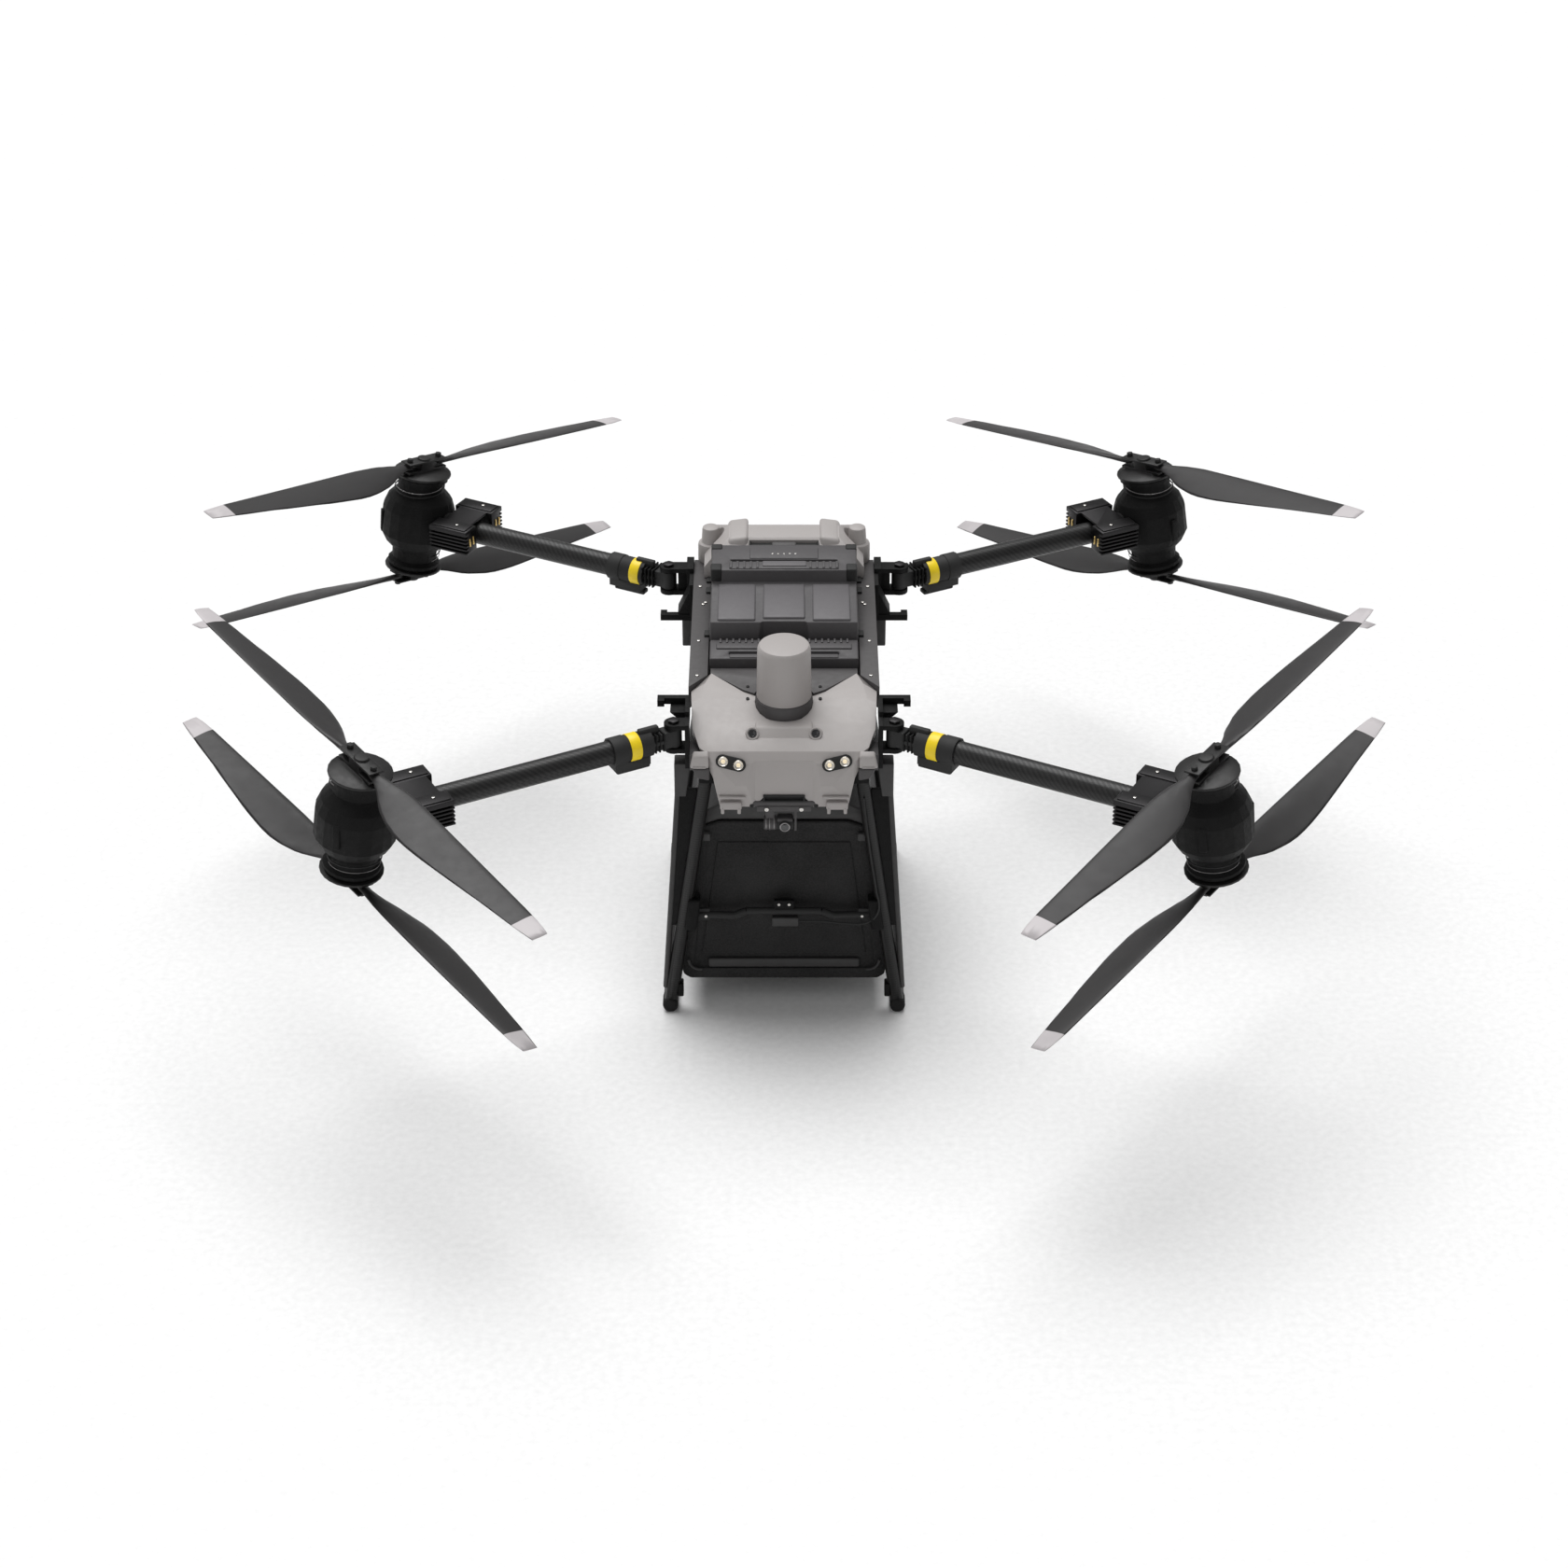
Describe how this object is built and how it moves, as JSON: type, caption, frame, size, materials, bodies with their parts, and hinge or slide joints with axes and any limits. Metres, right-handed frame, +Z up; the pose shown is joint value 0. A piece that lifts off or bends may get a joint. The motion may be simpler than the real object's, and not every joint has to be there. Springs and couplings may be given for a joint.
{
  "type": "cargo drone",
  "caption": "Heavy-lift cargo drone with folding arms, coaxial folding rotors, lift-out batteries, a tilting nose camera and a belly cargo case between skid legs.",
  "frame": {"origin": "on the ground, under the plan centre of the whole machine", "axes": "+Z up, nose towards -Y, +X towards the pieces named right"},
  "size_m": [2.9034, 2.5626, 1.02],
  "materials": {
    "shell": "satin moulded warm grey",
    "dark_shell": "satin moulded dark grey",
    "battery": "fine textured dark grey",
    "black_plastic": "satin black",
    "rough_black": "coarse textured black",
    "carbon": "woven carbon fibre",
    "blade": "satin charcoal with a pale tip",
    "alloy": "dark anodised",
    "foam": "expanded foam, fine bead"
  },
  "bodies": {
    "airframe": {"airframe": "dark_shell", "nose_shell": "shell", "nose_deck": "dark_shell", "parachute_pack": "shell", "rear_cover": "shell", "gnss_antenna_left": "shell", "gnss_antenna_right": "shell", "cargo_case": "foam", "case_lid": "dark_shell", "landing_leg_left": "carbon", "landing_leg_right": "carbon", "leg_crossbar": "carbon", "camera_bracket": "dark_shell", "arm_hinge_front_left": "rough_black", "arm_hinge_front_right": "rough_black", "arm_hinge_rear_left": "rough_black", "arm_hinge_rear_right": "rough_black"},
    "battery_front": {"battery_front": "battery"},
    "battery_rear": {"battery_rear": "battery"},
    "camera": {"camera_head": "black_plastic"},
    "arm_front_left": {"arm_socket_front_left": "black_plastic", "arm_tube_front_left": "carbon", "motor_pod_front_left": "rough_black", "speed_controllers_front_left": "alloy"},
    "arm_front_right": {"arm_socket_front_right": "black_plastic", "arm_tube_front_right": "carbon", "motor_pod_front_right": "rough_black", "speed_controllers_front_right": "alloy"},
    "arm_rear_left": {"arm_socket_rear_left": "black_plastic", "arm_tube_rear_left": "carbon", "motor_pod_rear_left": "rough_black", "speed_controllers_rear_left": "alloy"},
    "arm_rear_right": {"arm_socket_rear_right": "black_plastic", "arm_tube_rear_right": "carbon", "motor_pod_rear_right": "rough_black", "speed_controllers_rear_right": "alloy"},
    "rotor_front_left_upper": {"rotor_hub_front_left_upper": "alloy"},
    "rotor_front_left_lower": {"rotor_hub_front_left_lower": "alloy"},
    "rotor_front_right_upper": {"rotor_hub_front_right_upper": "alloy"},
    "rotor_front_right_lower": {"rotor_hub_front_right_lower": "alloy"},
    "rotor_rear_left_upper": {"rotor_hub_rear_left_upper": "alloy"},
    "rotor_rear_left_lower": {"rotor_hub_rear_left_lower": "alloy"},
    "rotor_rear_right_upper": {"rotor_hub_rear_right_upper": "alloy"},
    "rotor_rear_right_lower": {"rotor_hub_rear_right_lower": "alloy"},
    "blade_front_left_upper_a": {"blade_front_left_upper_a": "blade"},
    "blade_front_left_upper_b": {"blade_front_left_upper_b": "blade"},
    "blade_front_left_lower_a": {"blade_front_left_lower_a": "blade"},
    "blade_front_left_lower_b": {"blade_front_left_lower_b": "blade"},
    "blade_front_right_upper_a": {"blade_front_right_upper_a": "blade"},
    "blade_front_right_upper_b": {"blade_front_right_upper_b": "blade"},
    "blade_front_right_lower_a": {"blade_front_right_lower_a": "blade"},
    "blade_front_right_lower_b": {"blade_front_right_lower_b": "blade"},
    "blade_rear_left_upper_a": {"blade_rear_left_upper_a": "blade"},
    "blade_rear_left_upper_b": {"blade_rear_left_upper_b": "blade"},
    "blade_rear_left_lower_a": {"blade_rear_left_lower_a": "blade"},
    "blade_rear_left_lower_b": {"blade_rear_left_lower_b": "blade"},
    "blade_rear_right_upper_a": {"blade_rear_right_upper_a": "blade"},
    "blade_rear_right_upper_b": {"blade_rear_right_upper_b": "blade"},
    "blade_rear_right_lower_a": {"blade_rear_right_lower_a": "blade"},
    "blade_rear_right_lower_b": {"blade_rear_right_lower_b": "blade"}
  },
  "joints": [
    {"name": "arm_fold_front_left", "type": "hinge", "parent": "airframe", "child": "arm_front_left", "pos_m": [-0.252, -0.3507, 0.767], "axis": [-0.0242, -0.0799, -0.9965], "range_deg": [0, 90.2]},
    {"name": "arm_fold_front_right", "type": "hinge", "parent": "airframe", "child": "arm_front_right", "pos_m": [0.252, -0.3507, 0.767], "axis": [-0.0242, 0.0799, 0.9965], "range_deg": [0, 90.2]},
    {"name": "arm_fold_rear_left", "type": "hinge", "parent": "airframe", "child": "arm_rear_left", "pos_m": [-0.285, 0.4298, 0.767], "axis": [-0.0055, 0.0161, 0.9999], "range_deg": [0, 92]},
    {"name": "arm_fold_rear_right", "type": "hinge", "parent": "airframe", "child": "arm_rear_right", "pos_m": [0.285, 0.4298, 0.767], "axis": [-0.0055, -0.0161, -0.9999], "range_deg": [0, 92]},
    {"name": "battery_lift_front", "type": "slide", "parent": "airframe", "child": "battery_front", "axis": [0, 0, 1], "range_m": [0, 0.22]},
    {"name": "battery_lift_rear", "type": "slide", "parent": "airframe", "child": "battery_rear", "axis": [0, 0, 1], "range_m": [0, 0.18]},
    {"name": "camera_tilt", "type": "hinge", "parent": "airframe", "child": "camera", "pos_m": [0.002, -0.3782, 0.552], "axis": [1, 0, 0], "range_deg": [-30, 90]},
    {"name": "rotor_spin_front_left_upper", "type": "hinge", "parent": "arm_front_left", "child": "rotor_front_left_upper", "pos_m": [-0.9193, -0.72923, 0.89489], "axis": [0.1444, -0.062, 0.9876], "continuous": true},
    {"name": "rotor_spin_front_left_lower", "type": "hinge", "parent": "arm_front_left", "child": "rotor_front_left_lower", "pos_m": [-0.9567, -0.71317, 0.63911], "axis": [0.1444, -0.062, 0.9876], "continuous": true},
    {"name": "rotor_spin_front_right_upper", "type": "hinge", "parent": "arm_front_right", "child": "rotor_front_right_upper", "pos_m": [0.9193, -0.72923, 0.89489], "axis": [-0.1444, -0.062, 0.9876], "continuous": true},
    {"name": "rotor_spin_front_right_lower", "type": "hinge", "parent": "arm_front_right", "child": "rotor_front_right_lower", "pos_m": [0.9567, -0.71317, 0.63911], "axis": [-0.1444, -0.062, 0.9876], "continuous": true},
    {"name": "rotor_spin_rear_left_upper", "type": "hinge", "parent": "arm_rear_left", "child": "rotor_rear_left_upper", "pos_m": [-0.91947, 0.77322, 0.89489], "axis": [0.1431, 0.065, 0.9876], "continuous": true},
    {"name": "rotor_spin_rear_left_lower", "type": "hinge", "parent": "arm_rear_left", "child": "rotor_rear_left_lower", "pos_m": [-0.95653, 0.75638, 0.63911], "axis": [0.1431, 0.065, 0.9876], "continuous": true},
    {"name": "rotor_spin_rear_right_upper", "type": "hinge", "parent": "arm_rear_right", "child": "rotor_rear_right_upper", "pos_m": [0.91947, 0.77322, 0.89489], "axis": [-0.1431, 0.065, 0.9876], "continuous": true},
    {"name": "rotor_spin_rear_right_lower", "type": "hinge", "parent": "arm_rear_right", "child": "rotor_rear_right_lower", "pos_m": [0.95653, 0.75638, 0.63911], "axis": [-0.1431, 0.065, 0.9876], "continuous": true},
    {"name": "blade_fold_front_left_upper_a", "type": "hinge", "parent": "rotor_front_left_upper", "child": "blade_front_left_upper_a", "pos_m": [-0.94478, -0.69391, 0.92311], "axis": [-0.1444, 0.062, -0.9876], "range_deg": [0, 92]},
    {"name": "blade_fold_front_left_upper_b", "type": "hinge", "parent": "rotor_front_left_upper", "child": "blade_front_left_upper_b", "pos_m": [-0.88746, -0.76727, 0.91012], "axis": [0.1444, -0.062, 0.9876], "range_deg": [0, 80]},
    {"name": "blade_fold_front_left_lower_a", "type": "hinge", "parent": "rotor_front_left_lower", "child": "blade_front_left_lower_a", "pos_m": [-0.98892, -0.67544, 0.62391], "axis": [-0.1444, 0.062, -0.9876], "range_deg": [0, 92]},
    {"name": "blade_fold_front_left_lower_b", "type": "hinge", "parent": "rotor_front_left_lower", "child": "blade_front_left_lower_b", "pos_m": [-0.93084, -0.74818, 0.61085], "axis": [0.1444, -0.062, 0.9876], "range_deg": [0, 80]},
    {"name": "blade_fold_front_right_upper_a", "type": "hinge", "parent": "rotor_front_right_upper", "child": "blade_front_right_upper_a", "pos_m": [0.94478, -0.69391, 0.92311], "axis": [-0.1444, -0.062, 0.9876], "range_deg": [0, 92]},
    {"name": "blade_fold_front_right_upper_b", "type": "hinge", "parent": "rotor_front_right_upper", "child": "blade_front_right_upper_b", "pos_m": [0.88746, -0.76727, 0.91012], "axis": [0.1444, 0.062, -0.9876], "range_deg": [0, 80]},
    {"name": "blade_fold_front_right_lower_a", "type": "hinge", "parent": "rotor_front_right_lower", "child": "blade_front_right_lower_a", "pos_m": [0.98892, -0.67544, 0.62391], "axis": [-0.1444, -0.062, 0.9876], "range_deg": [0, 92]},
    {"name": "blade_fold_front_right_lower_b", "type": "hinge", "parent": "rotor_front_right_lower", "child": "blade_front_right_lower_b", "pos_m": [0.93084, -0.74818, 0.61085], "axis": [0.1444, 0.062, -0.9876], "range_deg": [0, 80]},
    {"name": "blade_fold_rear_left_upper_a", "type": "hinge", "parent": "rotor_rear_left_upper", "child": "blade_rear_left_upper_a", "pos_m": [-0.94851, 0.7411, 0.92349], "axis": [0.1431, 0.065, 0.9876], "range_deg": [0, 99]},
    {"name": "blade_fold_rear_left_upper_b", "type": "hinge", "parent": "rotor_rear_left_upper", "child": "blade_rear_left_upper_b", "pos_m": [-0.88414, 0.8082, 0.90975], "axis": [-0.1431, -0.065, -0.9876], "range_deg": [0, 73]},
    {"name": "blade_fold_rear_left_lower_a", "type": "hinge", "parent": "rotor_rear_left_lower", "child": "blade_rear_left_lower_a", "pos_m": [-0.99216, 0.72169, 0.62428], "axis": [0.1431, 0.065, 0.9876], "range_deg": [0, 99]},
    {"name": "blade_fold_rear_left_lower_b", "type": "hinge", "parent": "rotor_rear_left_lower", "child": "blade_rear_left_lower_b", "pos_m": [-0.92719, 0.78821, 0.61049], "axis": [-0.1431, -0.065, -0.9876], "range_deg": [0, 73]},
    {"name": "blade_fold_rear_right_upper_a", "type": "hinge", "parent": "rotor_rear_right_upper", "child": "blade_rear_right_upper_a", "pos_m": [0.94851, 0.7411, 0.92349], "axis": [0.1431, -0.065, -0.9876], "range_deg": [0, 99]},
    {"name": "blade_fold_rear_right_upper_b", "type": "hinge", "parent": "rotor_rear_right_upper", "child": "blade_rear_right_upper_b", "pos_m": [0.88414, 0.8082, 0.90975], "axis": [-0.1431, 0.065, 0.9876], "range_deg": [0, 73]},
    {"name": "blade_fold_rear_right_lower_a", "type": "hinge", "parent": "rotor_rear_right_lower", "child": "blade_rear_right_lower_a", "pos_m": [0.99216, 0.72169, 0.62428], "axis": [0.1431, -0.065, -0.9876], "range_deg": [0, 99]},
    {"name": "blade_fold_rear_right_lower_b", "type": "hinge", "parent": "rotor_rear_right_lower", "child": "blade_rear_right_lower_b", "pos_m": [0.92719, 0.78821, 0.61049], "axis": [-0.1431, 0.065, 0.9876], "range_deg": [0, 73]}
  ]
}
